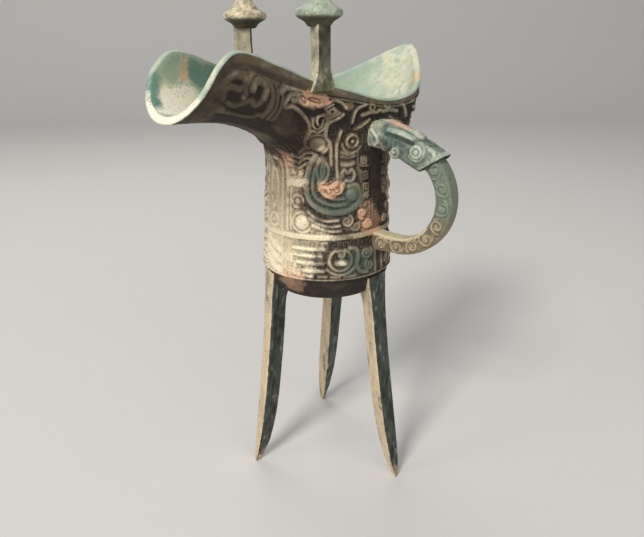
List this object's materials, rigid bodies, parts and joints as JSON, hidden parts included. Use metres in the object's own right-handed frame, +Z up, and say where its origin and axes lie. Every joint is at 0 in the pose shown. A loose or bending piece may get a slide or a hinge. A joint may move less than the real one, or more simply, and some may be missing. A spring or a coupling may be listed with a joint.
{
  "type": "bronze jue vessel",
  "caption": "Footed cast-bronze pouring cup with a long open spout, a pointed tail, capped posts on the rim, a beast-head bow handle and splayed, ridged legs.",
  "frame": {"origin": "on the plane that the feet stand on, under the axis of the cup", "axes": "+Z up along the cup's axis, -X along the spout, +X along the tail, -Y along the handle"},
  "size_m": [0.1505, 0.0937, 0.2216],
  "materials": {
    "cup_bronze": "patinated",
    "leg_bronze": "patinated",
    "handle_bronze": "patinated",
    "post_bronze": "patinated"
  },
  "bodies": {
    "root": {"vessel_body": "cup_bronze", "leg_handle_side": "leg_bronze", "leg_spout_side": "leg_bronze", "leg_tail_side": "leg_bronze", "handle_bow": "handle_bronze", "handle_head": "handle_bronze", "post_handle_side": "post_bronze", "post_far_side": "post_bronze", "post_cap_handle_side": "post_bronze", "post_cap_far_side": "post_bronze"}
  },
  "joints": []
}
